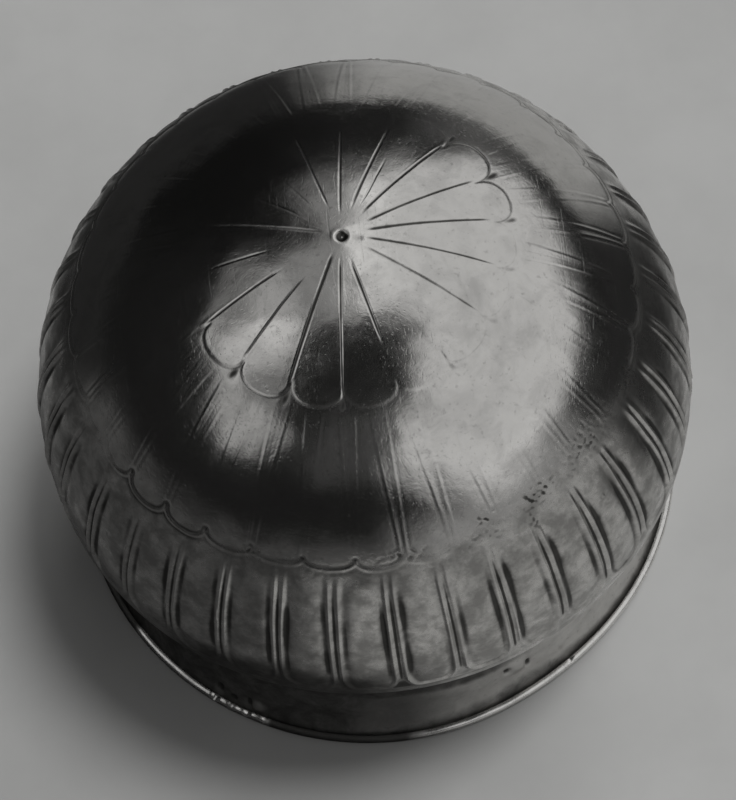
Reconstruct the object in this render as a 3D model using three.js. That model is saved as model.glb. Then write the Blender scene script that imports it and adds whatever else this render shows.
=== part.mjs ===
import * as THREE from 'three';

// A deep silver bowl that stands mouth down on its lip. The rounded base is on top and carries
// a rosette of petals, a ring of leaves and a ring of tongues between pairs of ribs.
// Millimetres, +Z up. The origin is the centre of the mouth, on the plane that the lip rests on.

// Overall form
const totalHeight = 101;
const bodyRadius = 65;
const widestHeight = 40;
const shellWall = 1.2;
const shoulderRoll = 4;
const ringSegments = 72;

// Neck collar and its seams
const neckTopRadius = 59.2;
const neckWaistRadius = 57.6;
const neckWaistHeight = 20;
const waistCurveShare = 0.6;
const footCurveReach = 0.45;
const footCurveShare = 0.24;
const collarWall = 1.2;
const flangeWidth = 1.6;
const seamGap = 0.3;
const solderLeg = 0.9;

// Lip ring
const lipRadius = 63.2;
const lipHeight = 2.1;
const lipWidth = 2.8;
const lipLedge = 1;
const lipTopWidth = 1.2;
const lipFootInset = 0.6;
const lipBeadSweep = 0.8 * Math.PI;

// Rosette of petals round the centre mark
const petalCount = 18;
const centreMarkRadius = 1.1;
const centreMarkDepth = 0.6;
const petalStart = 4.8;
const petalCusp = 28.4;
const petalTip = 32.5;
const petalCrown = 0.25;
const petalGrooveDepth = 0.45;
const petalGrooveHalf = 0.6;
const petalRowInset = 2;
const petalStep = 0.4;

// Leaves
const leafCusp = 59.2;
const leafTip = 62.4;
const leafRidge = 0.3;
const leafRidgeShare = 0.12;
const leafEdgeRise = 0.35;
const leafEdgeWidth = 1.3;

// Tongues and the ribs between them
const tongueCount = 36;
const ribHeight = 0.6;
const ribSpacing = 1.5;
const ribWidth = 1.1;
const ribGrooveDepth = 0.25;
const ribGrooveSpread = 1.2;
const tongueCrown = 0.2;
const ribStart = 64.9;
const ribFullFrom = 66.7;
const tongueEndBand = 2.2;
const tongueEndInset = 0.9;

const silver = 0xb9b7b1;
const solderGrey = 0x8d8a83;

const turn = 2 * Math.PI;

// The plain outer surface under the relief, from the crown to the widest ring
const shellRadius = bodyRadius - ribHeight;
const crownRise = totalHeight - widestHeight;

function crownPoint(angle) {
  return new THREE.Vector2(shellRadius * Math.cos(angle), widestHeight + crownRise * Math.sin(angle));
}

function rollPoint(angle, radius = shoulderRoll) {
  const centre = shellRadius - shoulderRoll;
  return new THREE.Vector2(centre + radius * Math.cos(angle), widestHeight - radius * Math.sin(angle));
}

// Distance along the surface from the crown, so that the bands of ornament keep their real lengths
const crownSteps = 2000;
const crownPath = [];
for (let i = 0; i <= crownSteps; i++) {
  const point = crownPoint((1 - i / crownSteps) * Math.PI / 2);
  const last = crownPath[i - 1];
  const length = last ? last.length + last.point.distanceTo(point) : 0;
  crownPath.push({ point, length });
}
const widestLength = crownPath[crownSteps].length;
const tongueEnd = widestLength - tongueEndInset;

// A point of the shell at a distance from the crown, raised along the surface's normal
function surfacePoint(length, height) {
  const at = THREE.MathUtils.clamp(length, 0, widestLength);
  let index = 1;
  while (index < crownSteps && crownPath[index].length < at) index++;
  const a = crownPath[index - 1];
  const b = crownPath[index];
  const share = (at - a.length) / (b.length - a.length);
  const along = b.point.clone().sub(a.point).normalize();
  const normal = new THREE.Vector2(-along.y, along.x);
  return a.point.clone().lerp(b.point, share).addScaledVector(normal, height);
}

// Closed body from rings of points
class RingBody {
  constructor() {
    this.positions = [];
    this.triangles = [];
  }

  ring(angles, pointAt) {
    return angles.map((angle) => {
      const point = pointAt(angle);
      this.positions.push(point.x * Math.sin(angle), -point.x * Math.cos(angle), point.y);
      return { angle, index: this.positions.length / 3 - 1 };
    });
  }

  // Two rings that start at the same side are zipped together in order of angle
  zip(upper, lower) {
    const at = (ring, i) => ring[i % ring.length].index;
    const angleAt = (ring, i) => ring[i % ring.length].angle + (i >= ring.length ? turn : 0);
    let i = 0;
    let j = 0;
    while (i < upper.length || j < lower.length) {
      const stepUpper = j >= lower.length
        || (i < upper.length && angleAt(upper, i + 1) <= angleAt(lower, j + 1));
      if (stepUpper) {
        this.triangles.push(at(upper, i), at(lower, j), at(upper, i + 1));
        i++;
      } else {
        this.triangles.push(at(upper, i), at(lower, j), at(lower, j + 1));
        j++;
      }
    }
  }

  chain(rings) {
    for (let i = 1; i < rings.length; i++) this.zip(rings[i - 1], rings[i]);
  }

  geometry() {
    const geometry = new THREE.BufferGeometry();
    geometry.setAttribute('position', new THREE.Float32BufferAttribute(this.positions, 3));
    geometry.setIndex(this.triangles);
    geometry.computeVertexNormals();
    return geometry;
  }
}

function evenAngles(count) {
  return Array.from({ length: count }, (_, i) => i * turn / count);
}

// Angles round one ring: each repeat has the same offsets, measured in millimetres on the ring
function patternAngles(count, radius, offsets) {
  const pitch = turn / count;
  const angles = [];
  for (let i = 0; i < count; i++) {
    for (const offset of offsets(pitch, radius)) angles.push(i * pitch + offset);
  }
  return angles;
}

// Distance in millimetres from an angle to the nearest line of a pattern
function gapToLine(angle, count, phase, radius) {
  const pitch = turn / count;
  const turns = (angle - phase) / pitch;
  return Math.abs(turns - Math.round(turns)) * pitch * radius;
}

// A round lobe between two cusps: 1 at its tip, 0 at a cusp
function lobe(angle, count, phase) {
  const pitch = turn / count;
  const turns = (angle - phase) / pitch;
  const across = 2 * Math.abs(turns - Math.round(turns));
  return Math.sqrt(Math.max(0, 1 - across ** 2));
}

const petalPitch = turn / petalCount;
const petalEdge = (angle) => petalCusp + (petalTip - petalCusp) * lobe(angle, petalCount, 0);
const leafEdge = (angle) => leafCusp + (leafTip - leafCusp) * lobe(angle, tongueCount, 0);

function petalOffsets(pitch, radius) {
  const half = Math.min(petalGrooveHalf / radius, pitch / 5);
  return [0, pitch / 4, pitch / 2 - half, pitch / 2, pitch / 2 + half, pitch * 3 / 4];
}

function petalHeight(angle, radius, grooveDepth) {
  const gap = gapToLine(angle, petalCount, petalPitch / 2, radius);
  const groove = gap < petalGrooveHalf / 2 ? -grooveDepth : 0;
  return groove + petalCrown * lobe(angle, petalCount, 0) ** 2;
}

const ribOffset = ribSpacing / 2;
const ribEdgeOffset = ribOffset + ribWidth;

function tongueOffsets(pitch, radius) {
  const crest = ribOffset / radius;
  const edge = ribEdgeOffset / radius;
  return [0, crest, edge, pitch / 2, pitch - edge, pitch - crest];
}

function tongueHeight(angle, radius) {
  const gap = gapToLine(angle, tongueCount, 0, radius);
  if (gap < ribOffset / 2) return 0;
  if (gap < (ribOffset + ribEdgeOffset) / 2) return ribHeight;
  if (gap < ribEdgeOffset * ribGrooveSpread) return -ribGrooveDepth;
  return tongueCrown;
}

// Columns of a leaf, as shares of its pitch: the line between two leaves is at one half
function leafOffsets(pitch) {
  const side = 0.5 - leafRidgeShare;
  return [0, side / 2, side, 0.5, 1 - side, 1 - side / 2].map((share) => share * pitch);
}

function leafBorderHeight(angle) {
  const pitch = turn / tongueCount;
  const near = gapToLine(angle, tongueCount, pitch / 2, 1) < pitch * leafRidgeShare / 2;
  return near ? leafRidge : 0;
}

function bowlShell() {
  const body = new RingBody();
  const rings = [];

  const addRing = (length, offsets, count, heightAt) => {
    const lengthAt = typeof length === 'function' ? length : () => length;
    const radius = surfacePoint(lengthAt(0), 0).x;
    const angles = patternAngles(count, radius, offsets);
    rings.push(body.ring(angles, (angle) => surfacePoint(lengthAt(angle), heightAt(angle, radius))));
  };
  const plainOffsets = () => [0];

  // Centre mark
  addRing(centreMarkRadius / 2, plainOffsets, petalCount, () => -centreMarkDepth);
  addRing(centreMarkRadius, plainOffsets, petalCount, () => 0);

  // Petals, with a groove on the line between two
  addRing(petalStart, petalOffsets, petalCount, () => 0);
  for (const length of [petalStart + petalRowInset, petalCusp / 2, petalCusp - petalRowInset]) {
    addRing(length, petalOffsets, petalCount, (a, r) => petalHeight(a, r, petalGrooveDepth));
  }
  addRing((a) => petalEdge(a) - petalGrooveHalf, petalOffsets, petalCount,
    (a, r) => petalHeight(a, r, petalGrooveDepth) + petalStep);
  addRing(petalEdge, petalOffsets, petalCount, () => -petalGrooveDepth / 2);

  // Leaves, with a ridge on the line between two and a raised edge at the tip
  const leafStart = petalTip + 2 * petalGrooveHalf;
  const leafSide = leafCusp - 2 * leafEdgeWidth;
  const leafRows = 3;
  for (let i = 0; i <= leafRows; i++) {
    const length = leafStart + (leafSide - leafStart) * i / leafRows;
    addRing(length, leafOffsets, tongueCount, leafBorderHeight);
  }
  addRing((a) => leafEdge(a) - leafEdgeWidth, leafOffsets, tongueCount, () => leafEdgeRise / 2);
  addRing((a) => leafEdge(a) - leafEdgeWidth / 2, leafOffsets, tongueCount, () => leafEdgeRise);
  addRing(leafEdge, leafOffsets, tongueCount, () => -ribGrooveDepth / 2);

  // Tongues
  addRing(ribStart, tongueOffsets, tongueCount, () => 0);
  const tongueRows = 3;
  const tongueSide = tongueEnd - tongueEndBand;
  for (let i = 0; i <= tongueRows; i++) {
    const length = ribFullFrom + (tongueSide - ribFullFrom) * i / tongueRows;
    addRing(length, tongueOffsets, tongueCount, tongueHeight);
  }
  addRing(tongueEnd, tongueOffsets, tongueCount, () => ribHeight / 2);
  addRing(widestLength, tongueOffsets, tongueCount, () => 0);

  // Turn under the shoulder, and the edge that the collar passes through
  const rollSteps = 3;
  const even = evenAngles(ringSegments);
  for (let i = 1; i <= rollSteps; i++) {
    rings.push(body.ring(even, () => rollPoint(i / rollSteps * Math.PI / 2)));
  }
  const edgeRadius = neckTopRadius + seamGap;
  const edgeBottom = widestHeight - shoulderRoll;
  rings.push(body.ring(even, () => new THREE.Vector2(edgeRadius, edgeBottom)));
  rings.push(body.ring(even, () => new THREE.Vector2(edgeRadius, edgeBottom + shellWall)));

  // Inside
  for (let i = rollSteps; i >= 1; i--) {
    rings.push(body.ring(even, () => rollPoint(i / rollSteps * Math.PI / 2, shoulderRoll - shellWall)));
  }
  const insideRows = 8;
  for (let i = 0; i < insideRows; i++) {
    const length = widestLength * (1 - i / insideRows);
    rings.push(body.ring(even, () => surfacePoint(length, -shellWall)));
  }
  body.chain(rings);

  // The two points on the axis
  const top = body.ring([0], () => new THREE.Vector2(0, totalHeight - centreMarkDepth));
  const under = body.ring([0], () => new THREE.Vector2(0, totalHeight - centreMarkDepth - shellWall));
  const first = rings[0];
  const last = rings[rings.length - 1];
  for (let i = 0; i < first.length; i++) {
    body.triangles.push(top[0].index, first[i].index, first[(i + 1) % first.length].index);
  }
  for (let i = 0; i < last.length; i++) {
    body.triangles.push(last[i].index, under[0].index, last[(i + 1) % last.length].index);
  }
  return body.geometry();
}

// Collar: a flange on the shell's turned edge, a concave neck and an edge that stands in the lip ring
const lipInnerRadius = lipRadius - lipWidth;
const ledgeOuterRadius = lipRadius - lipTopWidth;
const collarFoot = new THREE.Vector2(ledgeOuterRadius - seamGap, lipLedge + seamGap);
const shellEdgeTop = widestHeight - shoulderRoll + shellWall;

function neckCollar() {
  const top = new THREE.Vector2(neckTopRadius, widestHeight - shoulderRoll);
  const upper = new THREE.CubicBezierCurve(
    top,
    new THREE.Vector2(neckTopRadius, top.y - (top.y - neckWaistHeight) / 3),
    new THREE.Vector2(neckWaistRadius, neckWaistHeight + (top.y - neckWaistHeight) / 3),
    new THREE.Vector2(neckWaistRadius, neckWaistHeight),
  );
  const lower = new THREE.CubicBezierCurve(
    new THREE.Vector2(neckWaistRadius, neckWaistHeight),
    new THREE.Vector2(neckWaistRadius, neckWaistHeight * waistCurveShare),
    new THREE.Vector2(
      neckWaistRadius + (collarFoot.x - neckWaistRadius) * footCurveReach,
      neckWaistHeight * footCurveShare,
    ),
    collarFoot,
  );
  const upperSteps = 4;
  const lowerSteps = 6;
  const outer = [...upper.getPoints(upperSteps), ...lower.getPoints(lowerSteps).slice(1)];
  const inner = outer.map((point) => new THREE.Vector2(point.x - collarWall, point.y));
  const flangeUnder = shellEdgeTop + seamGap;
  const flangeTop = flangeUnder + collarWall;
  const flangeEdge = neckTopRadius + flangeWidth;
  const profile = [
    new THREE.Vector2(flangeEdge, flangeTop),
    new THREE.Vector2(flangeEdge, flangeUnder),
    new THREE.Vector2(neckTopRadius, flangeUnder),
    ...outer,
    ...inner.reverse(),
    new THREE.Vector2(neckTopRadius - collarWall, flangeTop),
  ];
  return closedLathe(profile);
}

// A closed lathe whose outline is given from the top down the outside
function closedLathe(profile) {
  const outline = [...profile].reverse();
  return new THREE.LatheGeometry([...outline, outline[0]], ringSegments).rotateX(Math.PI / 2);
}

function lipRing() {
  const height = lipHeight / 2;
  const outerCentre = lipRadius - height;
  const steps = 6;
  const outline = [
    new THREE.Vector2(ledgeOuterRadius, lipLedge),
    new THREE.Vector2(ledgeOuterRadius, lipHeight),
  ];
  for (let i = 0; i <= steps; i++) {
    const angle = Math.PI / 2 - i / steps * lipBeadSweep;
    outline.push(new THREE.Vector2(outerCentre + height * Math.cos(angle), height + height * Math.sin(angle)));
  }
  outline.push(new THREE.Vector2(lipRadius - lipFootInset - height / 2, 0));
  outline.push(new THREE.Vector2(lipInnerRadius, 0));
  outline.push(new THREE.Vector2(lipInnerRadius, lipLedge));
  return closedLathe(outline);
}

// Solder run in the corner between the shell's turned edge and the collar
function shoulderSolder() {
  const inner = neckTopRadius + seamGap;
  const top = widestHeight - shoulderRoll - seamGap;
  return closedLathe([
    new THREE.Vector2(inner, top),
    new THREE.Vector2(inner + solderLeg, top),
    new THREE.Vector2(inner, top - solderLeg),
  ]);
}

function piece(name, geometry, color, roughness) {
  const material = new THREE.MeshStandardMaterial({ color, roughness, metalness: 1 });
  const mesh = new THREE.Mesh(geometry, material);
  mesh.name = name;
  return mesh;
}

const group = new THREE.Group();
group.add(piece('bowl_shell', bowlShell(), silver, 0.3));
group.add(piece('neck_collar', neckCollar(), silver, 0.3));
group.add(piece('lip_ring', lipRing(), silver, 0.25));
group.add(piece('shoulder_solder', shoulderSolder(), solderGrey, 0.6));

export default group;
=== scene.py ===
import math

import bpy
import numpy as np
from mathutils import Matrix, Vector


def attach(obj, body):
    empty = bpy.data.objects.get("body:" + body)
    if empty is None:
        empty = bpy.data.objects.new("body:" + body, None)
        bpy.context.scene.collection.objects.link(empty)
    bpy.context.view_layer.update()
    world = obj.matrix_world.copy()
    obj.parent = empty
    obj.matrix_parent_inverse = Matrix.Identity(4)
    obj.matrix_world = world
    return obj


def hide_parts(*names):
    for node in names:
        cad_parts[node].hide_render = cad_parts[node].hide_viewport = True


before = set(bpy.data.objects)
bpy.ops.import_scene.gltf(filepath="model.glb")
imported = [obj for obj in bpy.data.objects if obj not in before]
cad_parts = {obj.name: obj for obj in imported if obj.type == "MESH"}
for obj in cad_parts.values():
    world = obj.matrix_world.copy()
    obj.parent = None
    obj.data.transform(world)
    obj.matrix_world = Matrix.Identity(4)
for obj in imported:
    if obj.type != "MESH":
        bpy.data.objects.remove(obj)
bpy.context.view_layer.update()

# A deep silver bowl that stands mouth down on its lip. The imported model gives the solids; this
# script gives each of them its fine chased, turned and worn surface. Shapes are worked out in
# millimetres and become metres in make_mesh. Angles round the bowl are 0 in front and grow to the
# right. The length s runs along the body's surface and starts at the crown.
MM = 0.001
PHOTO_WIDTH = 736
FULL_TURN = 2 * math.pi

# Sizes of the solids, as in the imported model
TOTAL_HEIGHT = 101.0
BODY_RADIUS = 65.0
RIB_HEIGHT = 0.6
SHELL_RADIUS = BODY_RADIUS - RIB_HEIGHT
WIDEST_HEIGHT = 40.0
SHELL_WALL = 1.2
SHOULDER_ROLL = 4.0
NECK_TOP_RADIUS = 59.2
NECK_WAIST_RADIUS = 57.6
NECK_WAIST_HEIGHT = 20.0
COLLAR_WALL = 1.2
FLANGE_WIDTH = 1.6
SEAM_GAP = 0.3
SOLDER_LEG = 0.9
LIP_RADIUS = 63.2
LIP_HEIGHT = 2.1
LIP_WIDTH = 2.8
LIP_LEDGE = 1.0
LIP_TOP_WIDTH = 1.2
LIP_FOOT_INSET = 0.6

# Where the solids meet
SHELL_EDGE_BOTTOM = WIDEST_HEIGHT - SHOULDER_ROLL
SHELL_EDGE_RADIUS = NECK_TOP_RADIUS + SEAM_GAP
LEDGE_OUTER = LIP_RADIUS - LIP_TOP_WIDTH
COLLAR_FOOT = (LEDGE_OUTER - SEAM_GAP, LIP_LEDGE + SEAM_GAP)

# Each petal's line as degrees round, where it starts and ends, its depth and its width as shares, then
# the tip of the petal on its far side: distance from the crown and depth
PETALS = (
    (13.9, 4.6, 21.5, 1.1, 1.0, 31.3, 0.25), (33.5, 26.0, 29.5, 0.6, 1.0, 31.2, 0.45),
    (55.0, 4.2, 29.0, 0.65, 1.3, 31.3, 0.45), (75.5, 3.6, 29.0, 0.85, 1.3, 31.8, 0.45),
    (94.5, 3.8, 28.5, 1.0, 1.6, 32.8, 0.75), (113.0, 4.6, 29.0, 0.9, 1.2, 33.6, 0.95),
    (133.0, 5.5, 29.0, 0.9, 0.9, 32.5, 0.15), (155.0, 6.0, 27.0, 0.7, 0.8, 32.2, 0.08),
    (175.0, 4.4, 27.0, 0.6, 0.8, 32.0, 0.08), (195.0, 6.5, 27.0, 0.6, 0.8, 31.8, 0.08),
    (214.5, 8.0, 20.0, 0.12, 0.8, 31.6, 0.08), (233.0, 8.0, 20.0, 0.12, 0.8, 31.6, 0.08),
    (252.5, 3.2, 26.0, 0.55, 1.5, 31.5, 0.08), (273.6, 13.0, 25.5, 0.35, 0.8, 31.5, 0.10),
    (293.8, 12.0, 29.0, 0.75, 0.8, 31.6, 0.45), (314.4, 9.5, 29.0, 0.75, 0.8, 31.9, 0.9),
    (334.6, 3.0, 29.5, 1.15, 1.4, 31.4, 0.7), (354.2, 3.8, 30.5, 0.9, 0.9, 31.6, 0.2),
)
PETAL_CUSP = 28.2
PETAL_EDGE_RADIUS = 29.5
# The petals' lines meet a little off the axis, at the punched mark
MARK_X, MARK_Y = -0.21, 0.45
# One line has a second scratch beside it, where the tool slipped
SLIP_LINE = 7

TONGUES = 36
PITCH = FULL_TURN / TONGUES
PITCH_DEGREES = 360 // TONGUES
LEAF_CUSP, LEAF_TIP = 59.5, 61.8
LEAF_EDGE_RADIUS = 54.5
TONGUE_FOOT = 97.6
BASE_EDGE = 100.3
# The pairs of ribs in front as degrees round, how far each is moved, and the dirt left of it, between
# its ribs and right of it
PAIRS = (
    (-70, -1.4, 0.5, 0.7, 0.5), (-60, -0.4, 0.7, 0.8, 0.8), (-50, -0.3, 0.5, 0.6, 0.5),
    (-40, -0.4, 0.7, 0.7, 0.7), (-30, -0.4, 0.8, 0.9, 0.6), (-20, 0.0, 0.9, 1.0, 0.9),
    (-10, 0.1, 0.7, 0.9, 0.6), (0, 0.5, 0.9, 1.0, 0.9), (10, 0.6, 0.3, 0.8, 0.6),
    (20, 0.45, 0.8, 1.0, 1.0), (30, 0.1, 0.5, 1.0, 0.9), (40, 0.0, 0.6, 1.0, 1.0),
    (50, -0.1, 0.8, 0.7, 0.9), (60, 0.6, 1.0, 0.8, 0.8),
)
OTHER_PAIRS = (0.6, 0.8, 0.7)


def smooth(x, low, high):
    """Rises from 0 to 1 between low and high."""
    t = np.clip((x - low) / (high - low), 0, 1)
    return t * t * (3 - 2 * t)


def band(x, start, full, fade, gone):
    """1 from full to fade, and 0 before start and after gone."""
    return smooth(x, start, full) * (1 - smooth(x, fade, gone))


def bump(x, width):
    return np.exp(-(x / width) ** 2)


def round_degrees(angle, centre=0.0):
    """Degrees round from a centre, between -180 and 180."""
    return np.mod(np.degrees(angle) - centre + 180, 360) - 180


def round_points(radius, angle, height):
    return np.stack([radius * np.sin(angle), -radius * np.cos(angle), height], -1)


CROWN_STEPS, ROLL_STEPS = 6000, 400


def plain_path():
    """The outline under the relief: from the crown over the widest ring and round the shoulder's turn.

    Returns the length along it, the radius, the height and the two parts of the outward normal."""
    crown = np.linspace(math.pi / 2, 0, CROWN_STEPS + 1)
    roll = np.linspace(0, math.pi / 2, ROLL_STEPS + 1)[1:]
    r = np.concatenate([
        SHELL_RADIUS * np.cos(crown), SHELL_RADIUS - SHOULDER_ROLL + SHOULDER_ROLL * np.cos(roll),
    ])
    z = np.concatenate([
        WIDEST_HEIGHT + (TOTAL_HEIGHT - WIDEST_HEIGHT) * np.sin(crown),
        WIDEST_HEIGHT - SHOULDER_ROLL * np.sin(roll),
    ])
    s = np.concatenate([[0], np.cumsum(np.hypot(np.diff(r), np.diff(z)))])
    dr, dz = np.gradient(r, s), np.gradient(z, s)
    length = np.hypot(dr, dz)
    return s, r, z, -dz / length, dr / length


PATH = plain_path()
WIDEST = float(PATH[0][CROWN_STEPS])
PATH_END = float(PATH[0][-1])


def along(s):
    """Radius, height and outward normal at a length along the path."""
    return [np.interp(s, PATH[0], column) for column in PATH[1:]]


# Slow waves of a hammered sheet: a sum of sines in space, from a fixed seed
def waves(count, size, seed):
    draw = np.random.default_rng(seed)
    direction = draw.normal(size=(count, 3))
    direction /= np.linalg.norm(direction, axis=1, keepdims=True)
    turns = FULL_TURN / (size * draw.uniform(0.7, 1.5, count))
    return direction * turns[:, None], draw.uniform(0, FULL_TURN, count)


def wave_height(points, wave):
    total = np.zeros(points.shape[:-1])
    for k, phase in zip(*wave):
        total += np.sin(points @ k + phase)
    return total / math.sqrt(len(wave[1]))


SLOW, MIDDLE, FINE = waves(9, 34, 3), waves(16, 10, 4), waves(20, 3.6, 5)
PITS, CORROSION = waves(40, 2.2, 6), waves(40, 1.0, 7)

# A scalloped edge is a chain of round lobes between cusps, laid flat at a given radius. Its exact
# distance is worked out within reach of it, for one block of points after the other.
LOBE_STEPS = 28
LOBE_POWER = 2.3
EDGE_REACH = 5.0
EDGE_BLOCKS = 96


def scalloped_chain(cusps, cusp_at, tip_at):
    """Angles and lengths s of the points along a scalloped edge."""
    t = -np.cos(np.linspace(0, math.pi, LOBE_STEPS))
    xs, ys = [], []
    for a, b, cusp, next_cusp, tip in zip(cusps, np.roll(cusps, -1), cusp_at, np.roll(cusp_at, -1), tip_at):
        if b < a:
            b += FULL_TURN
        low = cusp + (next_cusp - cusp) * (t + 1) / 2
        xs.append((a + b) / 2 + (b - a) / 2 * t)
        ys.append(low + (tip - low) * np.sqrt(np.clip(1 - np.abs(t) ** LOBE_POWER, 0, 1)))
    return np.concatenate(xs), np.concatenate(ys)


def distance_to_chain(points, chain, turn):
    """Distance of flat points to a chain of straight pieces that repeats after each turn."""
    chain_a, chain_b = chain[:-1], chain[1:]
    keep = np.abs(chain_b[:, 0] - chain_a[:, 0]) < turn / 4
    chain_a, chain_b = chain_a[keep], chain_b[keep]
    best = np.full(len(points), np.inf)
    for block in np.array_split(np.argsort(points[:, 0]), EDGE_BLOCKS):
        if not len(block):
            continue
        p = points[block]
        low, high = p[:, 0].min() - 2 * EDGE_REACH, p[:, 0].max() + 2 * EDGE_REACH
        for shift in (-turn, 0, turn):
            start = chain_a[:, 0] + shift
            use = (start > low) & (start < high)
            if not use.any():
                continue
            a = chain_a[use] + [shift, 0]
            d = chain_b[use] - chain_a[use]
            w = p[:, None, :] - a[None]
            t = np.clip((w * d).sum(-1) / np.maximum((d * d).sum(-1), 1e-12), 0, 1)
            gap = np.hypot(*np.moveaxis(w - t[..., None] * d, -1, 0)).min(1)
            best[block] = np.minimum(best[block], gap)
    return best


def edge_distance(angle, s, cusps, cusp_at, tip_at, radius):
    """Distance in millimetres to a scalloped edge, negative on the crown's side."""
    x, y = scalloped_chain(cusps, cusp_at, tip_at)
    x, turned_by = np.mod(x, FULL_TURN), np.mod(angle, FULL_TURN)
    order = np.argsort(x, kind="stable")
    signed = s - np.interp(turned_by, x[order], y[order], period=FULL_TURN)
    distance = np.abs(signed)
    near = distance < EDGE_REACH
    points = np.stack([turned_by[near] * radius, s[near]], -1)
    distance[near] = distance_to_chain(points, np.stack([x * radius, y], -1), FULL_TURN * radius)
    return np.sign(signed) * distance


# The ornament's places, each a little uneven
rng = np.random.default_rng(7)
petal_degrees, line_starts, line_ends, line_depths, line_widths, petal_tips, tip_depths = np.array(PETALS).T
petal_lines = np.radians(petal_degrees)
petal_spans = np.mod(np.roll(petal_lines, -1) - petal_lines, FULL_TURN)
petal_cusps = PETAL_CUSP + rng.normal(0, 0.3, len(petal_lines))
# The leaves on the left of the front lean to the left and hang lower
border_degrees = (np.arange(TONGUES) + 0.5) * PITCH_DEGREES + rng.normal(0, 0.18, TONGUES)
leaf_borders = np.radians(border_degrees - 1.3 * bump(round_degrees(np.radians(border_degrees), -38), 26))
cusp_drop = 0.7 * bump(round_degrees(leaf_borders, -46), 14)
leaf_cusps = LEAF_CUSP + rng.normal(0, 0.15, TONGUES) + cusp_drop
tip_drop = 1.5 * bump(round_degrees(leaf_borders + PITCH / 2, -48), 14)
leaf_tips = LEAF_TIP + rng.normal(0, 0.2, TONGUES) + tip_drop
rib_phase = rng.uniform(0, FULL_TURN, TONGUES)
pair_shift = np.zeros(TONGUES)
pair_dirt = np.tile(OTHER_PAIRS, (TONGUES, 1))
for at, moved, *dirts in PAIRS:
    pair_shift[at // PITCH_DEGREES % TONGUES] = math.radians(moved)
    pair_dirt[at // PITCH_DEGREES % TONGUES] = dirts


def foot_shift(angle):
    """The body's edge isn't quite level in front."""
    return -0.5 * bump(round_degrees(angle, 28), 22)


def nearest_line(angle, lines):
    """Signed angle to the nearest of the lines, and its index."""
    away = np.mod(angle[..., None] - lines + math.pi, FULL_TURN) - math.pi
    index = np.abs(away).argmin(-1)
    return np.take_along_axis(away, index[..., None], -1)[..., 0], index


# Each kind of work returns its height in millimetres, its dirt with any painted shade, and its wear as
# shares.
# Petals: heights and depths, and a line's half width with its growth
PETAL_SWELL = 0.065
LINE_DEPTH, LINE_BANK = 0.075, 0.006
LINE_HALF, LINE_GROWTH = 0.19, 0.16
SLIP_DEPTH = 0.045
TIP_DEPTH, TIP_BANK, CORNER_DEPTH = 0.045, 0.015, 0.05


def tip_strength(turned_by):
    """How clear the tip of the petal is that a point belongs to, blended into the clearer neighbour's."""
    beyond = np.mod(turned_by[..., None] - petal_lines, FULL_TURN)
    petal = beyond.argmin(-1)
    own = tip_depths[petal]
    share = np.take_along_axis(beyond, petal[..., None], -1)[..., 0] / petal_spans[petal]
    beside = np.where(share > 0.5, np.roll(tip_depths, -1)[petal], np.roll(tip_depths, 1)[petal])
    return own + (np.maximum(own, beside) - own) * smooth(np.abs(share - 0.5), 0.40, 0.5)


def petal_work(angle, s, radius, petal_d):
    x, y = radius * np.sin(angle) - MARK_X, -radius * np.cos(angle) - MARK_Y
    turned_by = np.arctan2(x, -y)
    away, index = nearest_line(turned_by, petal_lines)
    gap = away * np.hypot(x, y)
    start, end = line_starts[index], line_ends[index]
    line = band(s, start, start + 2.5, end - 3.5, end + 0.5) * line_depths[index]
    half = LINE_HALF + LINE_GROWTH * (line_widths[index] - 0.8) * (1 - 0.6 * smooth(s, 10, 22))
    groove = bump(gap, half) * line
    bank = bump(np.abs(gap) - 2.1 * half, 1.1 * half) * line
    slip = bump(gap + 1.3 + 0.045 * s, 0.16) * (index == SLIP_LINE) * band(s, 5, 8, 15, 19)
    strength = tip_strength(turned_by)
    tip = smooth(s, 26, 28.5) * strength
    edge = bump(petal_d - 0.1, 0.26) * tip
    corner = bump(gap, 0.75) * bump(petal_d - 0.9, 0.9) * tip
    swell = smooth(-petal_d, -0.6, 0.6) * smooth(s, 16, 28) * (0.15 + 0.85 * strength)
    height = PETAL_SWELL * swell - LINE_DEPTH * groove + LINE_BANK * bank - SLIP_DEPTH * slip
    height += TIP_BANK * bump(petal_d + 0.6, 0.4) * tip - TIP_DEPTH * edge - CORNER_DEPTH * corner
    return height, np.maximum(0.8 * groove, np.maximum(0.6 * edge, 0.8 * corner)), 0.25 * bank


# Leaves: a ridge inside each border with a line beside it, a line on the border and a full middle
LEAF_RIDGE, LEAF_LINE, BORDER_LINE, LEAF_BELLY = 0.052, 0.034, 0.026, 0.022


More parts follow.
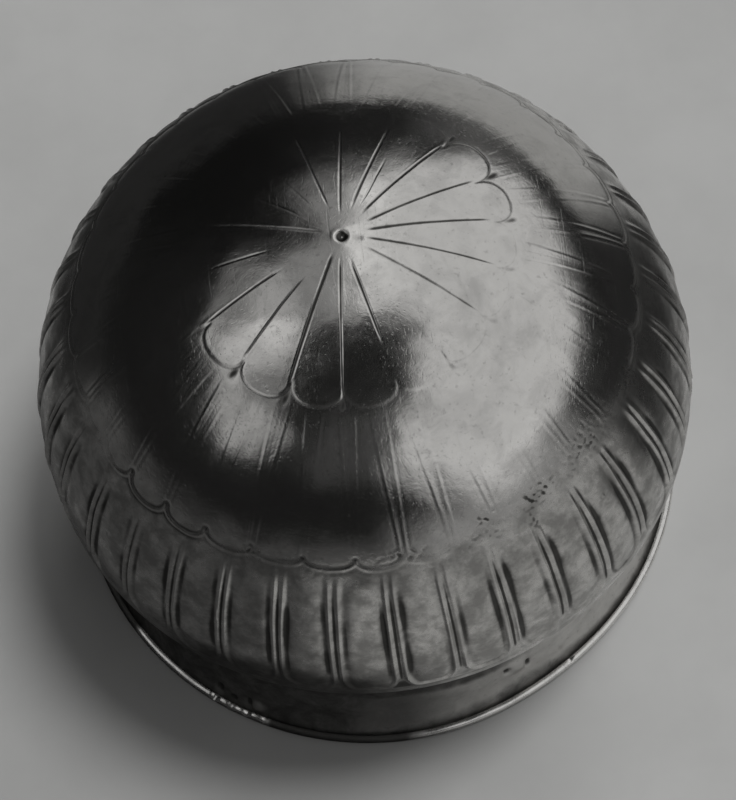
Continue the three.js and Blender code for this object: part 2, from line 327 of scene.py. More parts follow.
def leaf_work(angle, s, radius, petal_d, leaf_d):
    away, index = nearest_line(angle, leaf_borders)
    side = np.abs(away) * radius
    degrees = round_degrees(angle)
    field = smooth(petal_d, 0.3, 3.0) * smooth(-leaf_d, -0.15, 0.15)
    ridge_at = np.interp(s, [34, 44, 56, 61], [1.30, 1.0, 0.6, 0.6])
    near_tip = smooth(s, 57.0, 59.0)
    reach = side * (1 - near_tip) + np.minimum(side, np.maximum(-leaf_d, 0)) * near_tip
    clear = 1 - 0.45 * bump(degrees - 38, 22) + 0.7 * bump(degrees - 88, 18)
    strength = (0.40 + 0.30 * smooth(s, 44, 55)) * clear * field
    strength = strength * (0.65 + 0.35 * np.sin(5.0 * rib_phase[index] + 0.16 * s))
    ridge = bump(reach - ridge_at, 0.22) * strength
    inner = bump(reach - ridge_at - 0.5, 0.26) * strength
    border = bump(side, 0.24) * strength
    belly = smooth(reach, ridge_at + 0.4, ridge_at + 3.0) * field
    height = LEAF_RIDGE * ridge - LEAF_LINE * inner - BORDER_LINE * border + LEAF_BELLY * belly
    return height, 0.45 * np.maximum(inner, border), 0.4 * ridge


# The leaves' scalloped edge: its ridge and the lines beside it, and how clear it is round the front
SCALLOP_RIDGE, SCALLOP_LINE = 0.12, 0.07
SCALLOP_DEGREES = (-95, -75, -62, -57, -38, -34, -18, -15, -5, -2, 62, 70)
SCALLOP_CLEAR = (0.7, 0.25, 0.3, 0.95, 0.95, 0.4, 0.35, 0.7, 0.6, 0.22, 0.2, 0.8)


def scallop_work(angle, s, leaf_d):
    strong = smooth(s, 57, 59) * np.interp(round_degrees(angle), SCALLOP_DEGREES, SCALLOP_CLEAR)
    ridge = bump(leaf_d - 0.05, 0.28) * strong
    inside = bump(leaf_d + 0.62, 0.34) * strong
    outside = bump(leaf_d - 0.70, 0.32) * strong
    height = SCALLOP_RIDGE * ridge - SCALLOP_LINE * (inside + outside)
    return height, np.maximum(0.6 * inside, 0.6 * outside), 0.7 * ridge


# Tongues: each is outlined by one rib in the form of a U, with a groove between neighbours. The U's
# corner is a quarter of an ellipse.
CREST_AT = 0.76
CORNER_WIDTH, CORNER_HEIGHT = 2.7, 5.6
RIB_TOP, RIB_LOW_TOP, FOOT_RIB_TOP = 0.24, 0.16, 0.22
RIB_HALF = 0.36
VALLEY_AT = 0.90
VALLEY_DEPTH, LOW_VALLEY_DEPTH = 0.10, 0.13
BETWEEN_DEPTH, GUSSET_DEPTH, TONGUE_SWELL = 0.09, 0.08, 0.06


def tongue_outline(angle, s, radius):
    """The nearest pair of ribs, the distance from its middle, how far a point lies inside the U's rib,
    and how far above the tongues' foot."""
    degrees = round_degrees(angle)
    turns = angle / PITCH
    index = np.mod(np.round(turns).astype(int), TONGUES)
    pair = ((turns - np.round(turns)) * PITCH - pair_shift[index]) * radius
    crest = CREST_AT + 0.18 * band(degrees, -28, 5, 120, 165) + 0.06 * np.sin(0.13 * s + rib_phase[index])
    crest = crest - 0.20 * bump(degrees - 40, 45) * (1 - smooth(s, 65, 74))
    beyond, foot = np.abs(pair) - crest, TONGUE_FOOT + foot_shift(angle) - s
    left_over, under = np.maximum(CORNER_WIDTH - beyond, 0), np.maximum(CORNER_HEIGHT - foot, 0)
    size = np.hypot(left_over / CORNER_WIDTH, under / CORNER_HEIGHT)
    slope = np.hypot(left_over / CORNER_WIDTH ** 2, under / CORNER_HEIGHT ** 2) / np.maximum(size, 1e-6)
    inside = np.where(size > 0, (1 - size) / np.maximum(slope, 1e-6), np.minimum(beyond, foot))
    return index, pair, inside, foot


def tongue_dirt(s, degrees, index, pair, inside, field, between, gusset):
    """Residue in the valleys beside the ribs, between them, and in the gusset at their foot."""
    left, inner, right = np.moveaxis(pair_dirt[index], -1, 0)
    uneven = 0.78 + 0.22 * np.sin(0.34 * s + rib_phase[index] * 3 + (pair > 0) * 2.4)
    along_s = smooth(s, 64, 74) * (1 - 0.66 * smooth(s, 88, 95)) * uneven * 1.25
    outer = (left + (right - left) * smooth(pair, -0.15, 0.15)) * along_s
    core = bump(np.maximum(np.abs(inside - 0.98) - 0.14, 0), 0.46) * field
    soft = bump(np.maximum(inside - 1.0, 0), 1.1) * smooth(inside, 0.3, 0.9) * field
    middle = between * inner * smooth(s, 62.5, 74) * (1 - 0.4 * smooth(s, 91, 95))
    at_foot = gusset * (0.25 + 0.45 * bump(degrees, 6))
    return np.maximum(np.maximum(0.95 * core, 0.55 * soft) * outer, np.maximum(middle, at_foot))


def tongue_work(angle, s, radius, leaf_d):
    degrees = round_degrees(angle)
    index, pair, inside, foot = tongue_outline(angle, s, radius)
    across = np.abs(pair)
    straight = smooth(foot, 0.4, 4.2)
    low = smooth(s, 64, 78)
    foot_share = 0.30 + 0.70 * bump(degrees - 8, 30)
    field = smooth(leaf_d, 0.6, 5.5) * smooth(foot, -1.3, -0.7)
    half = RIB_HALF + 0.05 * np.sin(0.19 * s + rib_phase[index] * 2 + (pair > 0) * 1.9)
    rib = bump(inside, half * (0.80 + 0.20 * straight)) * field
    rib_top = (RIB_TOP + RIB_LOW_TOP * low) * straight + FOOT_RIB_TOP * foot_share * (1 - straight)
    rib_top = rib_top * (0.70 + 0.30 * smooth(np.abs(degrees + 28), 18, 26))
    between = bump(across, 0.30) * smooth(foot, 1.5, 4.0) * field
    gusset = smooth(-inside, 0.40, 0.95) * (1 - smooth(foot, 1.6, 4.0)) * smooth(foot, -0.8, 0.2) * field
    valley = bump(inside - VALLEY_AT, np.where(inside < VALLEY_AT, 0.42, 0.85)) * field
    valley_depth = VALLEY_DEPTH + LOW_VALLEY_DEPTH * low * (0.4 + 0.6 * straight)
    valley_depth = valley_depth * (straight + foot_share * (1 - straight))
    half_pitch = np.maximum(PITCH / 2 * radius, 2.0)
    swell = (1 - (1 - np.clip(across / half_pitch, 0, 1)) ** 2) * smooth(inside, 0.9, 3.6) * field
    height = rib_top * rib - BETWEEN_DEPTH * between - GUSSET_DEPTH * gusset
    height = height - valley_depth * valley + TONGUE_SWELL * swell
    dirt_and_shade = tongue_dirt(s, degrees, index, pair, inside, field, between, gusset)
    return height, dirt_and_shade, 0.8 * rib


# The body's edge under the tongues: a raised edge with a fine line above it, residue in the line,
# and painted shade on the shell's underside and over the tongues' foot on the left of the front
EDGE_TOP, EDGE_LINE = 0.26, 0.05


def base_work(angle, s):
    degrees = round_degrees(angle)
    front = bump(degrees - 2, 30)
    line = bump(s - TONGUE_FOOT - foot_shift(angle) - 0.9, 0.36) * (0.15 + 0.85 * front)
    edge = bump(s - BASE_EDGE, np.where(s < BASE_EDGE, 1.1, 1.8))
    # Painted shade: dark on the shell's underside in front, and over the tongues' foot on the left of the
    # front
    beneath = smooth(s, BASE_EDGE + 0.3, BASE_EDGE + 1.8) * band(degrees, -75, -50, 16, 32)
    front_shade = 0.66 * smooth(s, 86 - 5 * bump(degrees + 20, 4), 95) * band(degrees, -62, -30, -8, 8)
    dirt_and_shade = np.maximum(np.maximum(0.45 * line, front_shade), 0.85 * beneath)
    return EDGE_TOP * edge - EDGE_LINE * line, dirt_and_shade, 0.4 * edge * front * (1 - front_shade)


# The punched mark on the crown, and a shallow dent beside it
MARK_DEPTH, MARK_BANK, DENT_DEPTH = 0.45, 0.06, 0.12
DENT_X, DENT_Y = 3.1, -0.7


def centre_work(angle, s, radius):
    beside = np.hypot(radius * np.sin(angle) - DENT_X, -radius * np.cos(angle) - DENT_Y)
    height = -MARK_DEPTH * (1 - smooth(s, 0.35, 1.15)) + MARK_BANK * bump(s - 1.6, 0.5)
    dirt_and_shade = np.maximum(0.95 * bump(s - 0.55, 0.5), 0.4 * bump(beside, 0.5))
    return height - DENT_DEPTH * bump(beside, 0.6), dirt_and_shade, 0.5 * bump(s - 1.7, 0.5)


# Worn spots as degrees round, length from the crown, half width, half height and strength
WORN_SPOTS = (
    (34, 59.8, 5.0, 2.6, 1.0), (48, 60.0, 8, 3.8, 0.75), (22, 57.8, 2.6, 1.4, 1.1),
    (20, 61.5, 7, 2.6, 0.6), (5, 59.4, 5, 1.6, 0.8), (31, 64, 2.0, 3.0, 0.7),
    (45, 72, 2.5, 1.4, 0.8), (-25.5, 60.8, 2.2, 1.2, 1.1), (-56, 78, 1.2, 1.0, 0.8),
    (66, 61.0, 6, 3.0, 0.5), (12, 52, 6, 4, 0.35), (-13, 62.5, 4, 1.5, 0.5),
)
EATEN_DEPTH, PIT_DEPTH = 0.06, 0.08


def worn_work(angle, s, radius, points):
    """Corrosion and pits: their height and dirt, and where the finer work is worn away."""
    mask = np.zeros(s.shape)
    for degrees, length, wide, tall, strength in WORN_SPOTS:
        away = np.radians(round_degrees(angle, degrees)) * radius
        mask = np.maximum(mask, strength * np.exp(-(away / wide) ** 2 - ((s - length) / tall) ** 2))
    worn = np.minimum(mask, 1)
    eaten = smooth(wave_height(points, CORROSION), 0.15, 1.0) * worn * smooth(s, 40, 50)
    pits = smooth(wave_height(points, PITS), 2.4, 3.0) * band(s, 5, 12, 96, 97)
    dirt_and_shade = np.maximum(0.62 * eaten + 0.16 * mask, 0.7 * pits)
    return -EATEN_DEPTH * eaten - PIT_DEPTH * pits, dirt_and_shade, worn


def age_of(angle, s):
    """How matt and stained the silver is: least on the crown, most on the tongues."""
    right = bump(round_degrees(angle) - 38, 34)
    upper = 0.30 * right * smooth(s, 49, 55)
    return np.clip(0.10 + upper + (0.90 - upper) * smooth(s + 2.0 * right, 58.5, 63.5), 0, 1)


def relief(angle, s, points):
    """Height of the chased work over the plain surface in millimetres, dirt with painted shade, wear and
    age.
    """
    radius = np.maximum(along(s)[0], 0.05)
    flat_angle, flat_s = angle.ravel(), s.ravel()
    petal_d = edge_distance(flat_angle, flat_s, petal_lines, petal_cusps, petal_tips, PETAL_EDGE_RADIUS)
    leaf_d = edge_distance(flat_angle, flat_s, leaf_borders, leaf_cusps, leaf_tips, LEAF_EDGE_RADIUS)
    petal_d, leaf_d = petal_d.reshape(s.shape), leaf_d.reshape(s.shape)
    height, dirt_and_shade, worn = worn_work(angle, s, radius, points)
    wear = np.zeros(s.shape)
    soft = 1 - 0.75 * worn
    for share, work in (
        (1, petal_work(angle, s, radius, petal_d)), (soft, leaf_work(angle, s, radius, petal_d, leaf_d)),
        (soft, scallop_work(angle, s, leaf_d)), (1, tongue_work(angle, s, radius, leaf_d)),
        (1, base_work(angle, s)), (1, centre_work(angle, s, radius)),
    ):
        height = height + share * work[0]
        dirt_and_shade = np.maximum(dirt_and_shade, share * work[1])
        wear = np.maximum(wear, work[2])
    return height, np.clip(dirt_and_shade, 0, 1), np.clip(wear, 0, 1), age_of(angle, s)


def make_mesh(name, points, faces, sharp, uvs=None, marks=None):
    """A smooth mesh with edges kept where it turns by more than sharp degrees."""
    mesh = bpy.data.meshes.new(name)
    mesh.from_pydata((points * MM).tolist(), [], faces)
    if uvs is not None:
        layer = mesh.uv_layers.new(name="OFBake")
        index = np.empty(len(mesh.loops), np.int32)
        mesh.loops.foreach_get("vertex_index", index)
        layer.data.foreach_set("uv", uvs[index].astype(np.float32).ravel())
    for key, value in (marks or {}).items():
        attribute = mesh.attributes.new(key, "FLOAT", "POINT")
        attribute.data.foreach_set("value", value.astype(np.float32))
    mesh.polygons.foreach_set("use_smooth", [True] * len(mesh.polygons))
    mesh.update()
    obj = bpy.data.objects.new(name, mesh)
    bpy.context.scene.collection.objects.link(obj)
    mesh.set_sharp_from_angle(angle=math.radians(sharp))
    return obj


def grid_faces(first, rows, columns):
    """Quads between rings of equal size. The rings run outwards and down, the faces look outwards."""
    i, j = np.meshgrid(np.arange(rows - 1), np.arange(columns), indexing="ij")
    a = first + i * columns + j
    b = first + i * columns + (j + 1) % columns
    return np.stack([a, a + columns, b + columns, b], -1).reshape(-1, 4).tolist()


def widening_faces(coarse_first, coarse, fine_first, factor):
    """Triangles from a ring to the next, which has factor times as many points."""
    faces = []
    half = factor // 2
    fine = coarse * factor
    for i in range(coarse):
        c0, c1 = coarse_first + i, coarse_first + (i + 1) % coarse
        f = [fine_first + (i * factor + k) % fine for k in range(factor + 1)]
        for k in range(half):
            faces.append([c0, f[k], f[k + 1]])
        faces.append([c0, f[half], c1])
        for k in range(half, factor):
            faces.append([c1, f[k], f[k + 1]])
    return faces


# Columns of the shell's mesh in each pitch. Over the leaves they are even, and over the tongues they
# gather at the pair of ribs.
PITCH_COLUMNS = 36
GATHERED = 0.072
INSIDE_SHARE = 9


def columns_for(s):
    """Angles of all columns in a row."""
    even = np.arange(PITCH_COLUMNS) / PITCH_COLUMNS
    share = even - GATHERED * np.sin(FULL_TURN * even) * smooth(s, 61.0, 67.0)
    return (np.arange(TONGUES)[:, None] + share[None]).ravel() * PITCH


fine_columns = columns_for(PATH_END)
half_columns = columns_for(0)[::2]
few_columns = half_columns[::6]


def steps(low, high, size):
    return np.linspace(low, high, max(2, int(round((high - low) / size)) + 1))[:-1]


def shell_rows():
    """Rows of the shell's mesh for few, half and all columns, close together where the work is fine."""
    inner = np.concatenate([[0.2, 0.4], steps(0.6, 1.6, 0.16), steps(1.6, 3.0, 0.3)])
    petals = np.concatenate([steps(3.0, 6.0, 0.45), steps(6.0, 14.0, 0.9)])
    outer = np.concatenate([
        steps(14.0, 26.0, 1.0), steps(26.0, 34.6, 0.28), steps(34.6, 56.0, 1.1), steps(56.0, 67.0, 0.26),
        steps(67.0, 90.6, 1.1), steps(90.6, 101.6, 0.28), steps(101.6, PATH_END, 0.6), [PATH_END],
    ])
    return inner, petals, outer


# The bowl's outside and inside are two discs in the map that is used for baking
DISC_CENTRE, DISC_SCALE = 0.37, 0.36 / (PATH_END + 2)
SMALL_CENTRE, SMALL_SCALE = 0.865, 0.125 / (PATH_END + 2)


def disc_map(centre, reach, angle):
    return np.stack([centre + reach * np.sin(angle), centre - reach * np.cos(angle)], -1).reshape(-1, 2)


# The hammered unevenness fades out at the crown and below the tongues, and the whole surface is set
# back a little so that it stays inside the solid
SET_BACK = 0.10
MOST_RAISED = 0.25
HIGHEST = RIB_HEIGHT - 0.02


def outer_rings(rows, columns):
    """A zone of the chased outside: its points, their places in the map, and dirt with painted shade, wear
    and age.
    """
    s, angle = np.meshgrid(rows, columns, indexing="ij")
    if len(columns) == len(fine_columns):
        angle = np.stack([columns_for(row) for row in rows])
    r, z, nr, nz = along(s)
    plain = round_points(r, angle, z)
    height, *shades = relief(angle, s, plain)
    above_edge = 1 - smooth(s, 94.0, 97.0)
    beaten = smooth(s, 58.0, 66.0)
    raised = 0.085 * wave_height(plain, SLOW) + (0.040 + 0.020 * beaten) * wave_height(plain, MIDDLE)
    raised = raised + (0.006 + 0.008 * beaten) * wave_height(plain, FINE)
    raised = smooth(s, 1.0, 9.0) * above_edge * np.minimum(raised, MOST_RAISED)
    height = np.minimum(height - SET_BACK * above_edge + raised, HIGHEST)
    points = round_points(r + nr * height, angle, z + nz * height).reshape(-1, 3)
    return points, disc_map(DISC_CENTRE, s * DISC_SCALE, angle), shades


def inside_rings():
    """The edge that the collar passes through and the plain inside: points, places in the map, and rings."""
    inside_s = np.concatenate([
        PATH_END - steps(0, PATH_END - WIDEST, 0.9), WIDEST - steps(0, WIDEST - 2, 2.2), [2.0],
    ])
    r, z, nr, nz = along(inside_s)
    ring_r = np.concatenate([[SHELL_EDGE_RADIUS] * 2, r - nr * SHELL_WALL])
    ring_z = np.concatenate([[SHELL_EDGE_BOTTOM, SHELL_EDGE_BOTTOM + SHELL_WALL], z - nz * SHELL_WALL])
    ring_s = np.concatenate([[PATH_END + SHELL_WALL / 2, PATH_END + SHELL_WALL], inside_s])
    radius, angle = np.meshgrid(ring_r, fine_columns[::INSIDE_SHARE], indexing="ij")
    ones = np.ones(radius.shape)
    plain = round_points(radius, angle, ring_z[:, None] * ones)
    dent = 0.10 * wave_height(plain, SLOW) + 0.05 * wave_height(plain, MIDDLE)
    dent = dent * smooth(PATH_END - ring_s, 8, 14)[:, None] / 60
    plain = plain * (1 + np.stack([dent, dent, dent * 0], -1))
    edge = (np.arange(len(ring_s)) < 2)[:, None]
    reach = ring_s[:, None] * np.where(edge, DISC_SCALE, SMALL_SCALE) * ones
    centre = np.where(edge, DISC_CENTRE, SMALL_CENTRE) * ones
    return plain.reshape(-1, 3), disc_map(centre, reach, angle), len(ring_r)


def bowl_shell():
    points, uvs, faces = [], [], []
    marks = {"dirt_and_shade": [], "wear": [], "age_and_shade": []}
    count, ring = 0, 0
    for rows, columns in zip(shell_rows(), (few_columns, half_columns, fine_columns)):
        zone_points, zone_uvs, shades = outer_rings(rows, columns)
        points.append(zone_points)
        uvs.append(zone_uvs)
        for key, shade in zip(marks, shades):
            marks[key].append(shade.ravel())
        if ring:
            faces += widening_faces(count - ring, ring, count, len(columns) // ring)
        faces += grid_faces(count, len(rows), len(columns))
        count += len(zone_points)
        ring = len(columns)

    inside_points, inside_uvs, rings = inside_rings()
    inside_ring = len(inside_points) // rings
    faces += [face[::-1] for face in widening_faces(count, inside_ring, count - ring, INSIDE_SHARE)]
    faces += grid_faces(count, rings, inside_ring)
    count += len(inside_points)
    last = count - inside_ring

    # The two points on the axis close the outside and the inside
    few = len(few_columns)
    faces += [[count, i, (i + 1) % few] for i in range(few)]
    faces += [[count + 1, last + (i + 1) % inside_ring, last + i] for i in range(inside_ring)]
    mark_bottom, inside_top = TOTAL_HEIGHT - 0.47, TOTAL_HEIGHT - SHELL_WALL
    points += [inside_points, np.array([[0, 0, mark_bottom], [0, 0, inside_top]])]
    uvs += [inside_uvs, np.array([[DISC_CENTRE] * 2, [SMALL_CENTRE] * 2])]
    unmarked = np.zeros(len(inside_points) + 2)
    marks = {key: np.concatenate([*values, unmarked]) for key, values in marks.items()}
    return make_mesh("chased_bowl", np.concatenate(points), faces, 55, np.concatenate(uvs), marks)


def push_out(points, out, angle):
    """Moves points away from the axis."""
    points[..., 0] += out * np.sin(angle)
    points[..., 1] -= out * np.cos(angle)


def turned(name, outline, uneven, columns, sharp, shades=None):
    """A turned piece: its outline runs round the section in order, and its faces look outwards."""
    outline = np.array(outline)
    angle = np.arange(columns) * FULL_TURN / columns
    r, a = np.meshgrid(outline[:, 0], angle, indexing="ij")
    z = np.repeat(outline[:, 1][:, None], columns, 1)
    points = round_points(r, a, z)
    uneven(points, r, a, z)
    rows = len(outline)
    i, j = np.meshgrid(np.arange(rows), np.arange(columns), indexing="ij")
    row, next_row = i * columns, (i + 1) % rows * columns
    next_j = (j + 1) % columns
    faces = np.stack([row + j, next_row + j, next_row + next_j, row + next_j], -1).reshape(-1, 4).tolist()
    marks = {key: value.ravel() for key, value in shades(r, a, z).items()} if shades else None
    return make_mesh(name, points.reshape(-1, 3), faces, sharp, marks=marks)


def bezier(a, b, c, d, count):
    t = np.linspace(0, 1, count + 1)[:, None]
    a, b, c, d = map(np.array, (a, b, c, d))
    return (1 - t) ** 3 * a + 3 * (1 - t) ** 2 * t * b + 3 * (1 - t) * t ** 2 * c + t ** 3 * d


# An old repair on the neck and damage above the lip: degrees round, height, half width, half height,
# and how far it stands out, which is negative for holes
NECK_LUMPS = (
    (23.6, 11.0, 1.7, 2.6, 0.38), (21.2, 10.8, 0.6, 1.0, -0.6), (26.0, 9.6, 0.6, 1.6, -0.55),
    (-38.0, 3.4, 0.8, 1.2, -0.7), (-34.8, 2.6, 1.0, 0.8, -0.5), (-31.4, 3.4, 0.7, 1.2, -0.6),
    (-29.6, 3.6, 1.2, 1.2, 0.5),
)
NECK_COLUMNS, LIP_COLUMNS, SOLDER_COLUMNS = 900, 900, 384


def neck_spots(a, z):
    """Each lump or hole of the neck: how far it stands out, and its mask."""
    for at, high, wide, tall, size in NECK_LUMPS:
        across = np.radians(round_degrees(a, at)) * NECK_WAIST_RADIUS
        yield size, np.exp(-np.abs(across / wide) ** 3 - np.abs((z - high) / tall) ** 3)


def rim_bend(angle):
    """The mouth is bent in a little on the right of the front."""
    return -1.25 * bump(round_degrees(angle, 31), 25)


def neck_shades(_, a, z):
    """Dirt and painted shade above the lip, painted shade under the shell's edge and on the left of the
    front, and residue in the pits.
    """
    degrees = round_degrees(a)
    bent = bump(degrees - 22, 15)
    uneven = 0.5 * np.sin(np.radians(degrees) * 31) + 0.7 * np.sin(np.radians(degrees) * 12 + 1)
    # Dirt and painted shade in the corner above the lip, a wider band where the mouth is bent in
    corner = 1 - smooth(z, 1.6 + 1.2 * bent, 4.6 + 3.0 * bent + 0.5 * uneven)
    # Painted shade under the shell's edge, strongest in front
    under = smooth(z, 12.0 + 0.6 * uneven, 15.5) * (0.12 + 0.48 * band(degrees, -105, -70, 14, 34))
    # Painted shade over the left of the front, where the neck reflects the floor in the bowl's shadow
    left = band(degrees, -110, -75, -14, 5)
    pits, light = np.zeros(z.shape), np.zeros(z.shape)
    for size, spot in neck_spots(a, z):
        if size < 0:
            pits = np.maximum(pits, spot)
        else:
            light = np.maximum(light, spot)
    dirt_and_shade = np.maximum(np.maximum(0.48 * corner, under), 0.55 * left)
    dirt_and_shade = np.maximum(dirt_and_shade * (1 - 0.8 * light), 0.9 * pits)
    # Painted shade: more matt and darker over the left of the front, and less aged about 45 degrees to the
    # right
    age_and_shade = 0.30 + 0.4 * left - 0.2 * bump(degrees - 45, 30)
    return {"dirt_and_shade": np.clip(dirt_and_shade, 0, 1), "wear": light, "age_and_shade": np.clip(age_and_shade, 0, 1)}


def uneven_neck(points, r, a, z):
    out = 0.10 * wave_height(points, SLOW) + 0.05 * wave_height(points, MIDDLE)
    out = out * band(z, 2.5, 8, 30, 35)
    middle = NECK_WAIST_RADIUS - COLLAR_WALL / 2
    outside = smooth(r, middle - 0.1 * COLLAR_WALL, middle + 0.1 * COLLAR_WALL)
    for size, spot in neck_spots(a, z):
        out = out + size * outside * spot
    push_out(points, out + rim_bend(a) * (1 - smooth(z, 2, 16)), a)


def neck_collar():
    top, waist = (NECK_TOP_RADIUS, SHELL_EDGE_BOTTOM), (NECK_WAIST_RADIUS, NECK_WAIST_HEIGHT)
    third = (top[1] - waist[1]) / 3
    widening = COLLAR_FOOT[0] - waist[0]
    upper = bezier(top, (top[0], top[1] - third), (waist[0], waist[1] + third), waist, 24)
    lower = bezier(waist, (waist[0], waist[1] * 0.6), (waist[0] + widening * 0.45, waist[1] * 0.24),
                   COLLAR_FOOT, 32)
    outer = np.concatenate([upper, lower[1:]])
    inner = outer[::-1] - [COLLAR_WALL, 0]
    flange_under = SHELL_EDGE_BOTTOM + SHELL_WALL + SEAM_GAP
    flange_top = flange_under + COLLAR_WALL
    flange_radius = NECK_TOP_RADIUS + FLANGE_WIDTH
    outline = np.concatenate([
        [(flange_radius, flange_top), (flange_radius, flange_under), (NECK_TOP_RADIUS, flange_under)],
        outer, inner, [(NECK_TOP_RADIUS - COLLAR_WALL, flange_top)],
    ])
    return turned("neck", outline, uneven_neck, NECK_COLUMNS, 48, neck_shades)


# Solder lumps and breaks on the lip: degrees round, half width and height
LIP_LUMPS = (
    (-38.2, 0.8, -0.5), (-36.2, 1.0, 0.1), (-34.6, 0.6, -0.25), (-32.8, 0.9, 0.15),
    (-31.2, 0.5, -0.4), (-29.4, 1.5, 0.35), (-27.2, 0.6, -0.2), (34.5, 0.35, -0.3),
)
NICK_DEPTH = 0.16


def lip_shades(_, a, z):
    """The lip is darker over two stretches on the left of the front, with painted shade under the bead where
    the mouth is bent in and over the bead further left.
    """
    degrees = round_degrees(a)
    # Darker over two stretches on the left of the front
    dark_stretches = np.maximum(band(degrees, -29, -25, -4, 7), band(degrees, -84, -74, -61, -57))
    # Painted shade under the bead on the right of the front
    below = (1 - smooth(z, 0.5, 1.3)) * band(degrees, 0, 8, 26, 40)
    # Painted shade: the bead's highlight dimmed further left
    darkening = 0.22 * bump(degrees + 45, 16) * (1 - dark_stretches)
    dirt_and_shade = np.clip(np.maximum(0.85 * dark_stretches, 0.5 * below) + darkening, 0, 1)
    return {"dirt_and_shade": dirt_and_shade, "wear": np.zeros(z.shape), "age_and_shade": 0.5 * dirt_and_shade}


def uneven_lip(points, r, a, z):
    top = smooth(z, 1.0, 2.0)
    nick = np.clip(wave_height(points, waves(12, 9, 11)) - 1.3, 0, 1) * smooth(r, LIP_RADIUS - 1, LIP_RADIUS)
    push_out(points, rim_bend(a) - NICK_DEPTH * nick, a)
    for at, wide, size in LIP_LUMPS:
        away = np.radians(round_degrees(a, at)) * LIP_RADIUS
        points[..., 2] += size * top * np.exp(-np.abs(away / wide) ** 3)
    points[..., 2] += 0.04 * top * wave_height(points, waves(14, 6, 12))


def lip_ring():
    half = LIP_HEIGHT / 2
    centre = LIP_RADIUS - half
    outline = [(LEDGE_OUTER, LIP_LEDGE), (LEDGE_OUTER, LIP_HEIGHT)]
    for t in np.linspace(0, 1, 17):
        angle = math.pi / 2 - t * math.pi * 0.8
        outline.append((centre + half * math.cos(angle), half + half * math.sin(angle)))
    outline += [(LIP_RADIUS - LIP_FOOT_INSET - half / 2, 0.0), (LIP_RADIUS - LIP_WIDTH, 0.0),
                (LIP_RADIUS - LIP_WIDTH, LIP_LEDGE)]
    return turned("lip", outline, uneven_lip, LIP_COLUMNS, 40, lip_shades)


SOLDER_TOP = SHELL_EDGE_BOTTOM - SEAM_GAP


def uneven_solder(points, r, a, z):
    from_corner = smooth(r - SHELL_EDGE_RADIUS, 0, SOLDER_LEG) + smooth(SOLDER_TOP - z, 0, SOLDER_LEG)
    lump = 0.10 * wave_height(points, waves(14, 5, 21)) * from_corner
    push_out(points, np.clip(lump - 0.1, -0.3, 0), a)


def shoulder_solder():
    outline = [(SHELL_EDGE_RADIUS, SOLDER_TOP)]
    for t in np.linspace(0, 1, 7):
        outline.append((SHELL_EDGE_RADIUS + SOLDER_LEG * (1 - t) ** 1.5, SOLDER_TOP - SOLDER_LEG * t ** 1.5))
    return turned("solder", outline, uneven_solder, SOLDER_COLUMNS, 48)


class Nodes:
    """Short calls for a material's nodes."""

    def __init__(self, tree):
        self.tree = tree

    def put(self, kind, **inputs):
        """A node with its inputs set, and its properties where a name starts with set_."""
        node = self.tree.nodes.new(kind)
        for key, value in inputs.items():
            if key.startswith("set_"):
                setattr(node, key[4:], value)
            else:
                self.feed(node, key.replace("_", " "), value)
        return node

    def feed(self, node, key, value):
        socket = node.inputs[int(key)] if key.isdigit() else node.inputs[key]
        if isinstance(value, bpy.types.NodeSocket):
            self.tree.links.new(value, socket)
        else:
            socket.default_value = value

    def math(self, operation, a, b=0.0, clamp=False):
        node = self.put("ShaderNodeMath", set_operation=operation, set_use_clamp=clamp)
        self.feed(node, "0", a)
        self.feed(node, "1", b)
        return node.outputs[0]

    def plus(self, a, b):
        return self.math("ADD", a, b)

    def minus(self, a, b):
        return self.math("SUBTRACT", a, b)

    def times(self, a, b):
        return self.math("MULTIPLY", a, b)

    def span(self, value, low, high, to_low=0.0, to_high=1.0):
        """Goes smoothly from to_low to to_high, while the value goes from low to high."""
        node = self.put("ShaderNodeMapRange", set_interpolation_type="SMOOTHSTEP")
        for key, number in enumerate((value, low, high, to_low, to_high)):
            self.feed(node, str(key), number)
        return node.outputs[0]

    def mix(self, share, a, b):
        node = self.put("ShaderNodeMix", set_data_type="RGBA")
        for key, value in (("0", share), ("6", a), ("7", b)):
            self.feed(node, key, value)
        return node.outputs[2]

    def noise(self, vector, scale, detail=4.0, roughness=0.5, distortion=0.0):
        node = self.put("ShaderNodeTexNoise", Vector=vector, Scale=scale, Detail=detail,
                        Roughness=roughness, Distortion=distortion)
        return node.outputs["Fac"]


# Colours of the silver and of the solder
CLEAN, STAIN = (0.66, 0.65, 0.63), (0.46, 0.455, 0.44)
RESIDUE, AGED = (0.05, 0.049, 0.046), (0.27, 0.265, 0.255)
LIP_CLEAN = (0.80, 0.79, 0.77)
SOLDER_CLEAN, SOLDER_STAIN = (0.36, 0.355, 0.34), (0.20, 0.195, 0.19)
# Noises as scale per metre, detail, roughness and distortion
CLOUDS, BLOTCHES, MOTTLE = (38.0, 6.0, 0.62, 0.6), (190.0, 6.0, 0.62, 0.5), (200.0, 6.0, 0.68, 0.15)
GRAIN, FINE_PITS, GRIT = (1100.0, 3.0, 0.5), (2100.0, 2.0, 0.5), (520.0, 3.0, 0.5)
# Depths of the finest relief in millimetres
BLOTCH_DEPTH, GRAIN_DEPTH, FINE_PIT_DEPTH, SCRATCH_DEPTH, GRIT_DEPTH = 0.045, 0.007, 0.009, 0.004, 0.016
# Two layers of fine scratches: how far each is turned, and its scale along them per metre
SCRATCH_LAYERS = ((0.6, 36.0), (2.1, 28.8))
SCRATCH_FINENESS = 1600.0


